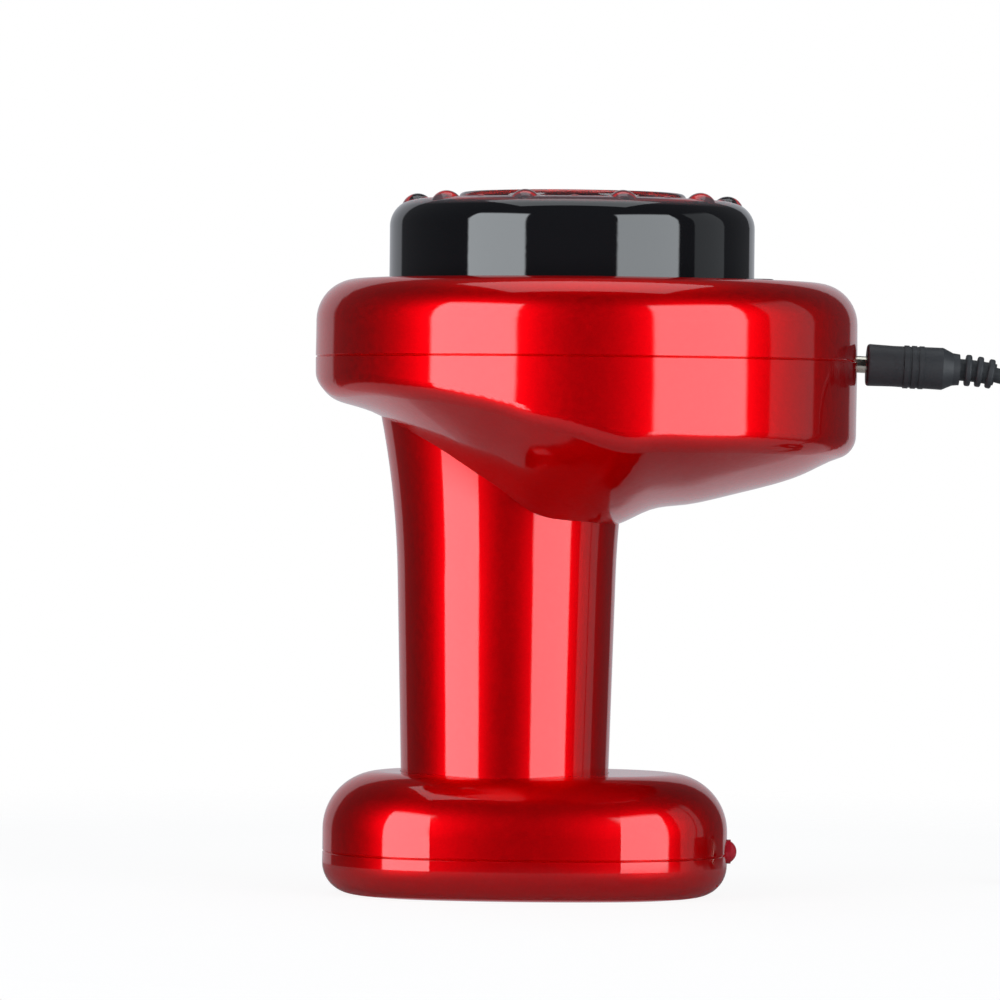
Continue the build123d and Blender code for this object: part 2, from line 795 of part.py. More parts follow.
# Frame plate that ties the inner pieces to the cover
with BuildPart() as frame_plate:
    extrude(discs(frame_bottom, [(0, 0)], frame_radius), amount=frame_thickness)
    extrude(discs(frame_top, [(cup_x, 0)], flange_radius), amount=flange_bottom - frame_top)
    seat_hollow = discs(frame_top, [(cup_x, 0)], cup_seat_inner)
    extrude(seat_hollow, amount=flange_bottom - frame_top, mode=Mode.SUBTRACT)
    post_places = [polar(post_circle, angle) for angle in post_angles]
    extrude(discs(frame_top, post_places, board_post_radius), amount=board_post_rise)
    main_posts = [
        (main_board_left + main_post_inset + i * (main_board_length - 2 * main_post_inset), side * y)
        for i in (0, 1)
        for side in (-1, 1)
        for y in (main_board_half_width - main_post_inset,)
    ]
    extrude(discs(frame_bottom, main_posts, main_post_radius), amount=-main_board_drop)
    extrude(discs(frame_bottom - main_board_drop, main_posts, screw_pilot_radius),
            amount=main_board_drop, mode=Mode.SUBTRACT)
    frame_holes = discs(frame_bottom, boss_places, screw_clear_radius)
    extrude(frame_holes, amount=frame_thickness, mode=Mode.SUBTRACT)
    stem_pass = discs(frame_bottom, [(port_x, port_y)], port_stem_radius + running_gap)
    extrude(stem_pass, amount=frame_thickness, mode=Mode.SUBTRACT)
    bracket_y = motor_start + motor_length / 2
    bracket_holes = [(pump_place_x + side * bracket_screw_span, bracket_y) for side in (-1, 1)]
    extrude(discs(frame_bottom, bracket_holes, screw_pilot_radius), amount=frame_thickness, mode=Mode.SUBTRACT)
    with BuildSketch(Plane.XY.offset(frame_bottom)):
        notch = jack_box_front - jack_box_length - running_gap
        with Locations((notch, 0)):
            notch_width = jack_side + 2 * running_gap
            Rectangle(frame_radius, notch_width, align=(Align.MIN, Align.CENTER))
    extrude(amount=frame_thickness, mode=Mode.SUBTRACT)
save(frame_plate, "frame_plate")

screws("frame_screws", boss_places, frame_bottom, frame_screw_length)

# Head shell, the lower half of the head
with BuildPart() as head_shell:
    keel_floor = seam_height - keel_opening
    blank_corners = (
        (0, seam_height, 0),
        (head_radius - seam_groove, seam_height, 0),
        (head_radius, seam_height - seam_groove, 0),
        (head_radius - keel_opening * ring_slope, keel_floor, 0),
        (0, keel_floor, 0),
    )
    revolve(rounded_outline(Plane.XZ, blank_corners), axis=Axis.Z)
    add(underside_block(head_radius, 0), mode=Mode.INTERSECT)
    belt = head_shell.edges().filter_by(lambda edge: edge.bounding_box().max.Z < seam_height - tongue_depth)
    fillet(belt, belt_radius)
    with BuildPart(mode=Mode.PRIVATE) as hollow:
        with BuildSketch(Plane.XY.offset(seam_height + overrun)):
            Circle(head_radius - head_wall)
        extrude(amount=-keel_opening, taper=head_draft)
        add(underside_block(head_radius, underside_wall_rise), mode=Mode.INTERSECT)
        socket_top = handle_top_height - socket_below_top
        socket = handle_outline(fit_gap + socket_wall, handle_base, socket_top)
        revolve(socket, axis=upright(handle_x), mode=Mode.SUBTRACT)
        clamp_bosses = [(clamp_boss_x, side * clamp_boss_across) for side in (-1, 1)]
        boss_block = discs(handle_top_height, clamp_bosses, clamp_boss_radius)
        extrude(boss_block, amount=-keel_opening, mode=Mode.SUBTRACT)
        with BuildSketch(Plane.XY.offset(seam_height - jack_drop - jack_side / 2 - jack_box_gap)):
            with Locations((jack_box_front - jack_box_length / 2, 0)):
                Rectangle(jack_pedestal_length, jack_pedestal_width)
        extrude(amount=-keel_opening, mode=Mode.SUBTRACT)
    add(hollow.part, mode=Mode.SUBTRACT)
    well = handle_outline(fit_gap, handle_base, handle_top_height)
    revolve(well, axis=upright(handle_x), mode=Mode.SUBTRACT)
    well_mouth = discs(handle_top_height, [(handle_x, 0)], handle_top_radius + fit_gap)
    extrude(well_mouth, amount=clamp_thickness + overrun, mode=Mode.SUBTRACT)
    boss_pilots = discs(handle_top_height, clamp_bosses, screw_pilot_radius)
    extrude(boss_pilots, amount=-screw_pilot_depth, mode=Mode.SUBTRACT)
    bezel_hole = socket_disc(jack_box_front - fit_gap, jack_bezel_radius + fit_gap, jack_depth + overrun)
    add(bezel_hole, mode=Mode.SUBTRACT)
save(head_shell, "head_shell")

# Handle, a flared tube with screw bosses at both ends
with BuildPart() as handle_tube:
    revolve(handle_outline(0, handle_base, handle_top_height), axis=upright(handle_x))
    bore_places = [(handle_x, 0)]
    extrude(discs(handle_base, bore_places, handle_bore), amount=handle_top_height - handle_base,
            mode=Mode.SUBTRACT)
    tube_bosses = [polar(handle_boss_circle, angle, handle_x) for angle in handle_boss_angles]
    extrude(discs(handle_base, tube_bosses, handle_boss_radius), amount=handle_boss_length)
    extrude(discs(handle_top_height, tube_bosses, handle_boss_radius), amount=-handle_boss_length)
    extrude(discs(handle_base, tube_bosses, screw_pilot_radius), amount=handle_boss_length,
            mode=Mode.SUBTRACT)
    extrude(discs(handle_top_height, tube_bosses, screw_pilot_radius), amount=-handle_boss_length,
            mode=Mode.SUBTRACT)
save(handle_tube, "handle_tube")

# Clamp plate that holds the handle in the head shell
with BuildPart() as handle_clamp:
    with BuildSketch(Plane.XY.offset(handle_top_height)) as clamp_outline:
        with Locations((handle_x, 0)):
            Circle(clamp_radius)
        with Locations((handle_x, 0)):
            reach = clamp_right - handle_x
            Rectangle(reach, 2 * clamp_half_width, align=(Align.MIN, Align.CENTER))
        with Locations((handle_x, 0)):
            Circle(clamp_hole, mode=Mode.SUBTRACT)
        with Locations(*tube_bosses, *clamp_bosses):
            Circle(screw_clear_radius, mode=Mode.SUBTRACT)
    extrude(amount=clamp_thickness)
save(handle_clamp, "handle_clamp")
screws("clamp_screws", tube_bosses + clamp_bosses, clamp_top, clamp_screw_length, upwards=False)

# Foot shell, the upper part of the foot
foot_posts = [
    (foot_x + side * foot_post_along, way * foot_post_across) for side in (-1, 1) for way in (-1, 1)
]
with BuildPart() as foot_shell:
    extrude(foot_outline(foot_seam), amount=foot_height - foot_seam)
    fillet(foot_shell.edges().group_by(Axis.Z)[-1], foot_top_round)
    chamfer(foot_shell.edges().group_by(Axis.Z)[0], seam_groove)
    with BuildPart(mode=Mode.PRIVATE) as foot_hollow:
        extrude(foot_outline(foot_seam, foot_wall), amount=foot_ceiling - foot_seam)
        fillet(foot_hollow.edges().group_by(Axis.Z)[-1], foot_inner_round)
        post_block = discs(foot_seam + fit_gap, foot_posts, foot_post_radius)
        extrude(post_block, amount=foot_ceiling - foot_seam, mode=Mode.SUBTRACT)
    add(foot_hollow.part, mode=Mode.SUBTRACT)
    post_pilots = discs(foot_seam + fit_gap, foot_posts, screw_pilot_radius)
    extrude(post_pilots, amount=screw_pilot_depth, mode=Mode.SUBTRACT)
    handle_seat = discs(handle_base, [(handle_x, 0)], handle_foot_radius + fit_gap)
    extrude(handle_seat, amount=handle_seat_depth + overrun, mode=Mode.SUBTRACT)
    top_holes = discs(foot_ceiling, tube_bosses, screw_clear_radius)
    extrude(top_holes, amount=foot_wall, mode=Mode.SUBTRACT)
    with BuildSketch(Plane.YZ.offset(foot_end - 2 * foot_wall)):
        with Locations((0, foot_lamp_height)):
            Circle(foot_lamp_radius + fit_gap)
    extrude(amount=2 * foot_wall + overrun, mode=Mode.SUBTRACT)
save(foot_shell, "foot_shell")
screws("handle_screws", tube_bosses, foot_ceiling, handle_screw_length)

# Foot cover, the lower part of the foot with the slots of the lamp board
lamp_board_x = foot_end - foot_wall - foot_lamp_flange_length - fit_gap
with BuildPart() as foot_cover:
    extrude(foot_outline(0), amount=foot_seam)
    fillet(foot_cover.edges().group_by(Axis.Z)[0], foot_bottom_round)
    chamfer(foot_cover.edges().group_by(Axis.Z)[-1], seam_groove)
    cover_hollow = foot_outline(foot_wall, foot_wall)
    extrude(cover_hollow, amount=foot_seam - foot_wall, mode=Mode.SUBTRACT)
    tongue_start = foot_seam - tongue_depth
    extrude(foot_outline(tongue_start, foot_wall / 2), amount=tongue_depth)
    rise = foot_outline(foot_seam, foot_wall + fit_gap)
    extrude(rise, amount=tongue_depth)
    tongue_hollow = foot_outline(tongue_start, foot_wall + fit_gap + tongue_wall)
    extrude(tongue_hollow, amount=2 * tongue_depth, mode=Mode.SUBTRACT)
    extrude(discs(foot_wall, foot_posts, foot_post_radius), amount=foot_seam - foot_wall)
    tongue_notches = discs(foot_seam, foot_posts, foot_post_radius + running_gap)
    extrude(tongue_notches, amount=tongue_depth, mode=Mode.SUBTRACT)
    extrude(discs(0, foot_posts, screw_head_radius + running_gap), amount=foot_screw_recess,
            mode=Mode.SUBTRACT)
    extrude(discs(0, foot_posts, screw_clear_radius), amount=foot_seam, mode=Mode.SUBTRACT)
    with BuildSketch(Plane.XY.offset(foot_wall)):
        with Locations(*[(lamp_board_x - board_thickness / 2, side * lamp_board_half_width)
                         for side in (-1, 1)]):
            Rectangle(lamp_post_depth, lamp_post_width)
    extrude(amount=lamp_post_height)
    with BuildSketch(Plane.XY.offset(lamp_board_bottom)):
        with Locations((lamp_board_x - board_thickness / 2, 0)):
            Rectangle(board_thickness + 2 * slide_gap, 2 * (lamp_board_half_width + slide_gap))
    extrude(amount=lamp_board_top - lamp_board_bottom, mode=Mode.SUBTRACT)
    with BuildSketch(Plane.YZ.offset(lamp_board_x)):
        with Locations((0, foot_lamp_height)):
            Circle(foot_lamp_radius + foot_lamp_flange + fit_gap)
    extrude(amount=foot_lamp_flange_length + fit_gap, mode=Mode.SUBTRACT)
    with BuildSketch(Plane.YZ.offset(lamp_board_x)):
        with Locations((0, foot_lamp_height)):
            Circle(foot_lamp_radius + fit_gap)
    extrude(amount=2 * foot_wall + overrun, mode=Mode.SUBTRACT)
save(foot_cover, "foot_cover")
screws("foot_screws", foot_posts, foot_screw_recess, foot_screw_length)

# Foot lamp and the board that carries it
with BuildPart() as foot_lamp:
    with BuildSketch(Plane.YZ.offset(lamp_board_x)):
        with Locations((0, foot_lamp_height)):
            Circle(foot_lamp_radius + foot_lamp_flange)
    extrude(amount=foot_lamp_flange_length)
    with BuildSketch(Plane.YZ.offset(lamp_board_x)):
        with Locations((0, foot_lamp_height)):
            Circle(foot_lamp_radius)
    lamp_length = foot_lamp_flange_length + foot_wall + foot_lamp_reach
    extrude(amount=lamp_length)
    with Locations(Location((lamp_board_x + lamp_length, 0, foot_lamp_height), (0, 90, 0))):
        Sphere(foot_lamp_radius, arc_size1=0)
save(foot_lamp, "foot_lamp")

with BuildPart() as lamp_board:
    with BuildSketch(Plane.XY.offset(lamp_board_bottom)):
        with Locations((lamp_board_x - board_thickness / 2, 0)):
            Rectangle(board_thickness, 2 * lamp_board_half_width)
    extrude(amount=lamp_board_top - lamp_board_bottom)
save(lamp_board, "lamp_board")

# Battery with its carrier, spring and contact
with BuildPart() as battery_carrier:
    extrude(discs(handle_base, [(handle_x, 0)], carrier_radius), amount=handle_top_height - handle_base)
    cell_bottom = handle_base + carrier_floor + spring_height
    cell_top = cell_bottom + cell_length
    pocket_bottom = handle_base + carrier_floor
    pocket_height = cell_top + contact_thickness - pocket_bottom
    cell_pocket = discs(pocket_bottom, [(handle_x, 0)], cell_radius + running_gap)
    extrude(cell_pocket, amount=pocket_height, mode=Mode.SUBTRACT)
    with BuildSketch(Plane.XY.offset(pocket_bottom)):
        with Locations((handle_x, -carrier_radius)):
            Rectangle(2 * cell_radius + 2 * running_gap, 2 * carrier_radius)
    extrude(amount=pocket_height, mode=Mode.SUBTRACT)
save(battery_carrier, "battery_carrier")

with BuildPart() as battery_cell:
    extrude(discs(cell_bottom, [(handle_x, 0)], cell_radius), amount=cell_length)
    fillet(battery_cell.edges(), spring_wire)
save(battery_cell, "battery_cell")

with BuildPart() as battery_spring:
    extrude(discs(pocket_bottom, [(handle_x, 0)], spring_outer), amount=spring_height)
    spring_hole = discs(pocket_bottom, [(handle_x, 0)], spring_outer - spring_wire)
    extrude(spring_hole, amount=spring_height, mode=Mode.SUBTRACT)
save(battery_spring, "battery_spring")

with BuildPart() as battery_contact:
    extrude(discs(cell_top, [(handle_x, 0)], contact_radius), amount=contact_thickness)
save(battery_contact, "battery_contact")

# Air block below the frame, with nozzles for the hose and the valve
with BuildPart() as air_block:
    with BuildSketch(Plane.XY.offset(block_bottom)):
        with Locations((port_x, port_y)):
            Rectangle(block_length, block_width)
    extrude(amount=block_height)
    block_back = port_y + block_width / 2
    block_left = port_x - block_length / 2
    with BuildSketch(Plane.XZ.offset(-block_back)):
        with Locations((port_x, air_height)):
            Circle(nozzle_radius)
    extrude(amount=-nozzle_length)
    with BuildSketch(Plane.XZ.offset(-port_y)):
        with Locations((port_x, air_height)):
            Circle(air_bore)
    extrude(amount=-block_width / 2 - nozzle_length, mode=Mode.SUBTRACT)
    with BuildSketch(Plane.YZ.offset(block_left)):
        with Locations((port_y, air_height)):
            Circle(air_bore)
    extrude(amount=block_length / 2, mode=Mode.SUBTRACT)
    stem_socket = discs(frame_bottom, [(port_x, port_y)], port_stem_radius + slide_gap)
    extrude(stem_socket, amount=-stem_entry, mode=Mode.SUBTRACT)
save(air_block, "air_block")

# Release valve on the block's left face, its plunger and its spring
with BuildPart() as release_valve:
    with BuildSketch(Plane.YZ.offset(block_left)):
        with Locations((port_y, air_height)):
            Circle(valve_radius)
    extrude(amount=-valve_length)
    with BuildSketch(Plane.YZ.offset(block_left - valve_wall)):
        with Locations((port_y, air_height)):
            Circle(plunger_radius + slide_gap)
    extrude(amount=-(valve_length - 2 * valve_wall), mode=Mode.SUBTRACT)
    with BuildSketch(Plane.YZ.offset(block_left)):
        with Locations((port_y, air_height)):
            Circle(air_bore)
    extrude(amount=-valve_length, mode=Mode.SUBTRACT)
save(release_valve, "release_valve")

plunger_front = block_left - valve_wall - running_gap
with BuildPart() as valve_plunger:
    with BuildSketch(Plane.YZ.offset(plunger_front)):
        with Locations((port_y, air_height)):
            Circle(plunger_radius)
    extrude(amount=-plunger_length)
save(valve_plunger, "valve_plunger")

spring_end = block_left - valve_length + valve_wall
valve_spring_length = plunger_front - plunger_length - plunger_travel - running_gap - spring_end
with BuildPart() as valve_spring:
    with BuildSketch(Plane.YZ.offset(spring_end)):
        with Locations((port_y, air_height)):
            Circle(valve_spring_radius)
            Circle(valve_spring_radius - valve_spring_wire, mode=Mode.SUBTRACT)
    extrude(amount=valve_spring_length)
save(valve_spring, "valve_spring")

# Pump: motor can, rotor shaft, crank housing, rocker, diaphragm and cap along Y
def pump_disc(start, radius, length, shift=0):
    """A disc along Y about the pump's axis."""
    with BuildSketch(Plane.XZ.offset(-start)) as sketch:
        with Locations((pump_place_x, pump_axis + shift)):
            Circle(radius)
    return extrude(sketch.sketch, amount=-length, mode=Mode.PRIVATE)


def pump_block(start, length):
    """A square block along Y about the pump's axis, with rounded edges."""
    with BuildSketch(Plane.XZ.offset(-start)) as sketch:
        with Locations((pump_place_x, pump_axis)):
            RectangleRounded(pump_side, pump_side, pump_edge)
    return extrude(sketch.sketch, amount=-length, mode=Mode.PRIVATE)


with BuildPart() as pump_motor:
    add(pump_disc(motor_start, motor_radius, motor_length))
    hollow_length = motor_length - 2 * motor_wall
    add(pump_disc(motor_start + motor_wall, motor_radius - motor_wall, hollow_length), mode=Mode.SUBTRACT)
    add(pump_disc(motor_start, shaft_radius + slide_gap, motor_length), mode=Mode.SUBTRACT)
save(pump_motor, "pump_motor")

shaft_end = crank_start + motor_wall + running_gap + eccentric_length
with BuildPart() as pump_shaft:
    add(pump_disc(motor_start, shaft_radius, shaft_end - motor_start))
save(pump_shaft, "pump_shaft")

with BuildPart() as pump_rotor:
    rotor_start = motor_start + (motor_length - rotor_length) / 2
    add(pump_disc(rotor_start, rotor_radius, rotor_length))
    add(pump_disc(rotor_start, shaft_radius, rotor_length), mode=Mode.SUBTRACT)
save(pump_rotor, "pump_rotor")

with BuildPart() as pump_eccentric:
    add(pump_disc(shaft_end - eccentric_length, eccentric_radius, eccentric_length, eccentric_shift))
    add(pump_disc(shaft_end - eccentric_length, shaft_radius, eccentric_length), mode=Mode.SUBTRACT)
save(pump_eccentric, "pump_eccentric")

with BuildPart() as pump_housing:
    add(pump_block(crank_start, crank_length))
    crank_hollow = pump_disc(crank_start + motor_wall, crank_bore, crank_length)
    add(crank_hollow, mode=Mode.SUBTRACT)
    add(pump_disc(crank_start, shaft_radius + running_gap, crank_length), mode=Mode.SUBTRACT)
save(pump_housing, "pump_housing")

with BuildPart() as pump_rocker:
    rocker_start = diaphragm_start - rocker_thickness
    add(pump_disc(rocker_start, rocker_radius, rocker_thickness))
save(pump_rocker, "pump_rocker")

with BuildPart() as pump_diaphragm:
    add(pump_block(diaphragm_start, diaphragm_thickness))
save(pump_diaphragm, "pump_diaphragm")

with BuildPart() as pump_cap:
    add(pump_block(pump_cap_start, pump_cap_length))
    nozzle_shift = air_height - pump_axis
    add(pump_disc(pump_end, nozzle_radius, nozzle_length, nozzle_shift))
    add(pump_disc(pump_cap_start, air_bore, pump_cap_length + nozzle_length, nozzle_shift),
        mode=Mode.SUBTRACT)
save(pump_cap, "pump_cap")

# Bracket that hangs the pump from the frame
with BuildPart() as pump_bracket:
    bracket_start = bracket_y - bracket_length / 2
    add(pump_disc(bracket_start, motor_radius + bracket_wall, bracket_length))
    with BuildSketch(Plane.XY.offset(frame_bottom - bracket_ear)):
        with Locations((pump_place_x, bracket_y)):
            Rectangle(2 * (bracket_screw_span + screw_head_radius + fit_gap), bracket_length)
    extrude(amount=bracket_ear)
    add(pump_disc(bracket_start, motor_radius + slide_gap, bracket_length), mode=Mode.SUBTRACT)
    ear_holes = discs(frame_bottom - bracket_ear, bracket_holes, screw_clear_radius)
    extrude(ear_holes, amount=bracket_ear, mode=Mode.SUBTRACT)
save(pump_bracket, "pump_bracket")
screws("bracket_screws", bracket_holes, frame_bottom - bracket_ear, bracket_ear + frame_thickness)

# Hose from the pump to the air block
hose_start = Vector(pump_place_x, pump_end + fit_gap, air_height)
hose_finish = Vector(port_x, block_back + fit_gap, air_height)
hose_top = max(pump_end, block_back) + hose_loop
with BuildPart() as air_hose:
    with BuildLine() as hose_path:
        FilletPolyline(
            hose_start,
            (pump_place_x, hose_top, air_height),
            (port_x, hose_top, air_height),
            hose_finish,
            radius=hose_bend,
        )
    with BuildSketch(Plane(hose_start, z_dir=(0, 1, 0))):
        Circle(hose_radius)
        Circle(nozzle_radius + slide_gap, mode=Mode.SUBTRACT)
    sweep(path=hose_path.wire())
save(air_hose, "air_hose")

# Main board under the frame, with its chips
main_board_middle = main_board_left + main_board_length / 2
with BuildPart() as main_board:
    with BuildSketch(Plane.XY.offset(main_board_bottom)):
        with Locations((main_board_middle, 0)):
            Rectangle(main_board_length, 2 * main_board_half_width)
        with Locations(*main_posts):
            Circle(screw_clear_radius, mode=Mode.SUBTRACT)
    extrude(amount=board_thickness)
save(main_board, "main_board")
screws("board_screws", main_posts, main_board_bottom, board_thickness + main_board_drop)

with BuildPart() as board_chips:
    for along_share, across_share, length_share, width_share in chip_shares:
        with BuildSketch(Plane.XY.offset(main_board_bottom)):
            chip_x = main_board_left + along_share * main_board_length
            with Locations((chip_x, across_share * main_board_half_width)):
                Rectangle(length_share * main_board_length, width_share * main_board_half_width)
        extrude(amount=-chip_height)
save(board_chips, "board_chips")

# Charging socket with its bezel and centre pin
with BuildPart() as charge_jack:
    with BuildSketch(socket_plane(jack_box_front - jack_box_length)):
        Rectangle(jack_side, jack_side)
    extrude(amount=jack_box_length)
    add(socket_disc(jack_box_front, jack_bezel_radius, jack_face - jack_box_front))
    add(socket_disc(jack_face - jack_bore_depth, jack_bore, jack_bore_depth), mode=Mode.SUBTRACT)
save(charge_jack, "charge_jack")

with BuildPart() as jack_pin:
    add(socket_disc(jack_face - jack_bore_depth, jack_pin_radius, jack_pin_length))
save(jack_pin, "jack_pin")

# Plug of the lead: barrel and moulded body, both about the socket's axis
with BuildPart() as plug_barrel:
    add(socket_disc(plug_face - barrel_length, barrel_radius, barrel_length))
    add(socket_disc(plug_face - barrel_length, barrel_bore, barrel_length), mode=Mode.SUBTRACT)
save(plug_barrel, "plug_barrel")

lean_way = socket_plane(0).z_dir
with BuildPart() as plug_body:
    plug_corners = (
        (0, 0, 0),
        (0, plug_radius, plug_front_round),
        (plug_waist_at, plug_waist_radius, plug_length),
        (plug_swell_at, plug_radius, plug_front_round),
        (plug_taper_at, plug_neck_radius, plug_front_round),
        (plug_length, plug_end_radius, 0),
        (plug_length, 0, 0),
    )
    plug_plane = Plane(origin=socket_point(plug_face), x_dir=lean_way, z_dir=(0, -1, 0))
    revolve(rounded_outline(plug_plane, plug_corners), axis=Axis(socket_point(plug_face), lean_way))
    for i in range(plug_grip_count):
        grip_start = plug_face + plug_grip_at + i * plug_grip_pitch
        add(socket_disc(grip_start, plug_waist_radius + plug_grip_rise, plug_grip_width))
save(plug_body, "plug_body")

# Strain relief: a core along a downward bend with ribs across it
relief_start = socket_point(plug_face + plug_length)


def relief_point(angle):
    """The place on the strain relief's bend at an angle from its start."""
    along = relief_bend_radius * (sin(radians(jack_lean + angle)) - sin(radians(jack_lean)))
    fall = relief_bend_radius * (cos(radians(jack_lean)) - cos(radians(jack_lean + angle)))
    return relief_start + Vector(along, 0, -fall)


def relief_heading(angle):
    """The direction of the strain relief's bend at an angle from its start."""
    return Vector(cos(radians(jack_lean + angle)), 0, -sin(radians(jack_lean + angle)))


relief_end = relief_point(relief_bend_angle)
with BuildPart() as strain_relief:
    with BuildLine() as relief_path:
        TangentArc(relief_start, relief_end, tangent=relief_heading(0))
    with BuildSketch(Plane(relief_start, z_dir=relief_heading(0))):
        Circle(relief_core_radius)
    sweep(path=relief_path.wire())
    for i in range(relief_rib_count):
        rib_angle = relief_rib_start_angle + i * relief_rib_step_angle
        rib_heading = relief_heading(rib_angle)
        rib_origin = relief_point(rib_angle) - rib_heading * (relief_rib_width / 2)
        rib_radius = relief_rib_first - i * relief_rib_fall
        rib_corners = (
            (0, 0, 0),
            (0, rib_radius, relief_rib_round),
            (relief_rib_width, rib_radius, relief_rib_round),
            (relief_rib_width, 0, 0),
        )
        rib_plane = Plane(origin=rib_origin, x_dir=rib_heading, z_dir=(0, -1, 0))
        revolve(rounded_outline(rib_plane, rib_corners), axis=Axis(rib_origin, rib_heading))
save(strain_relief, "strain_relief")

# Lead from the strain relief to the coil, straight runs joined by arcs
first_point = relief_end + relief_heading(relief_bend_angle) * cord_first_run
route = [relief_end, first_point] + [Vector(*point) for point in cord_route]
bend_radii = []
for before, corner, after in zip(route, route[1:], route[2:]):
    run_in, run_out = corner - before, after - corner
    half_turn = radians(run_in.get_angle(run_out)) / 2
    bend_radii.append(0.45 * min(run_in.length, run_out.length) / tan(half_turn))
print("lead bend radii", [round(radius, 1) for radius in bend_radii])
with BuildPart() as cord_lead:
    with BuildLine() as lead_path:
        FilletPolyline(*route, radius=bend_radii)
    with BuildSketch(Plane(relief_end, z_dir=relief_heading(relief_bend_angle))):
        Circle(cord_radius)
    sweep(path=lead_path.wire())
save(cord_lead, "cord_lead")
lead_length = lead_path.wire().length
section_area = pi * cord_radius**2
lead_ratio = cord_lead.part.volume / (section_area * lead_length)
print("lead length", round(lead_length, 1), "volume ratio", round(lead_ratio, 4))

# Coil of the length put away: two layers of turns on the floor, in and out again
coil_total = 2 * coil_half_turns + 1
coil_outer = coil_mean_radius + coil_pitch * coil_total / 8
coil_inner = coil_mean_radius - coil_pitch * coil_total / 8
coil_start = route[-1]
coil_centre = coil_start + Vector(2 * cord_radius, coil_outer, 0)


def coil_point(half_turns):
    """A point of the coil's line after a number of half turns."""
    climb = min(max(half_turns - coil_half_turns, 0), 1)
    radius = coil_inner + coil_pitch * abs(half_turns - coil_total / 2) / 2
    height = coil_rise * climb * climb * (3 - 2 * climb)
    x, y = polar(radius, 180 * half_turns - 90)
    return coil_centre + Vector(x, y, height)


def coil_heading(half_turns):
    """The coil's direction after a number of half turns."""
    step = 1 / coil_samples_per_turn
    if half_turns <= 0:
        return Vector(1, 0, 0)
    if half_turns >= coil_total:
        return Vector(-1, 0, 0)
    return (coil_point(half_turns + step) - coil_point(half_turns - step)).normalized()


def biarc_joint(start, start_heading, finish, finish_heading):
    """The point where two arcs between two headings meet."""
    span = finish - start
    spread = 2 * (1 - start_heading.dot(finish_heading))
    lean = span.dot(start_heading + finish_heading)
    if spread < 1 / coil_samples_per_turn:
        reach = span.dot(span) / (2 * lean)
    else:
        reach = (sqrt(lean**2 + spread * span.dot(span)) - lean) / spread
    return (start + finish + (start_heading - finish_heading) * reach) / 2


tail_end = coil_point(coil_total) + Vector(-coil_tail, 0, 0)
tail_end = Vector(tail_end.X, tail_end.Y, usb_body_height / 2)
knots = [(coil_point(i / 2), coil_heading(i / 2)) for i in range(2 * coil_total + 1)]
knots.append((tail_end + Vector(2 * cord_radius, 0, 0), Vector(-1, 0, 0)))
with BuildPart() as cord_coil:
    with BuildLine() as coil_path:
        Line(coil_start, knots[0][0])
        for (start, start_heading), (finish, finish_heading) in zip(knots, knots[1:]):
            joint = biarc_joint(start, start_heading, finish, finish_heading)
            first_arc = TangentArc(start, joint, tangent=start_heading)
            TangentArc(joint, finish, tangent=first_arc % 1)
        Line(knots[-1][0], tail_end)
    with BuildSketch(Plane(coil_start, z_dir=(1, 0, 0))):
        Circle(cord_radius)
    sweep(path=coil_path.wire())
save(cord_coil, "cord_coil")
coil_length = coil_path.wire().length
coil_ratio = cord_coil.part.volume / (section_area * coil_length)
print("coil length", round(coil_length, 1), "volume ratio", round(coil_ratio, 4))

sample_count = coil_total * coil_samples_per_turn // 2
samples = coil_path.wire().positions([i / sample_count for i in range(sample_count + 1)])
nearest = min(
    (samples[i] - samples[j]).length
    for i in range(len(samples))
    for j in range(i + coil_samples_per_turn // 4, len(samples))
)
print("coil least gap to itself", round(nearest - 2 * cord_radius, 2))

# Plug at the far end: moulded nose and body, metal shell and tongue
usb_axis = (tail_end.Y, tail_end.Z)
usb_nose_x = tail_end.X
usb_body_x = usb_nose_x - usb_nose_length
usb_face_x = usb_body_x - usb_body_length
with BuildPart() as usb_plug_body:
    for x, radius in ((usb_nose_x, usb_nose_start), (usb_body_x, usb_nose_end)):
        with BuildSketch(Plane.YZ.offset(x)):
            with Locations(usb_axis):
                Circle(radius)
    loft()
    with BuildPart(mode=Mode.PRIVATE) as usb_block:
        with BuildSketch(Plane.YZ.offset(usb_face_x)):
            with Locations(usb_axis):
                RectangleRounded(usb_body_width, usb_body_height, usb_body_round)
        extrude(amount=usb_body_length)
        fillet(usb_block.edges().group_by(Axis.X)[-1], usb_body_round)
    add(usb_block.part)
    with BuildSketch(Plane.YZ.offset(usb_face_x)):
        with Locations(usb_axis):
            Rectangle(usb_shell_width, usb_shell_height)
    extrude(amount=usb_shell_sink, mode=Mode.SUBTRACT)
save(usb_plug_body, "usb_plug_body")

shell_back = usb_face_x + usb_shell_sink
shell_tip = shell_back - usb_shell_length
with BuildPart() as usb_plug_shell:
    with BuildSketch(Plane.YZ.offset(shell_tip)):
        with Locations(usb_axis):
            Rectangle(usb_shell_width, usb_shell_height)
            inner_width = usb_shell_width - 2 * usb_shell_wall
            inner_height = usb_shell_height - 2 * usb_shell_wall
            Rectangle(inner_width, inner_height, mode=Mode.SUBTRACT)
    extrude(amount=usb_shell_length)
    window_places = [
        (shell_tip + usb_window_back, usb_axis[0] + side * usb_window_spacing / 2) for side in (-1, 1)
    ]
    with BuildSketch(Plane.XY):
        with Locations(*window_places):
            Rectangle(usb_window, usb_window)
    extrude(amount=usb_body_height, mode=Mode.SUBTRACT)
save(usb_plug_shell, "usb_plug_shell")

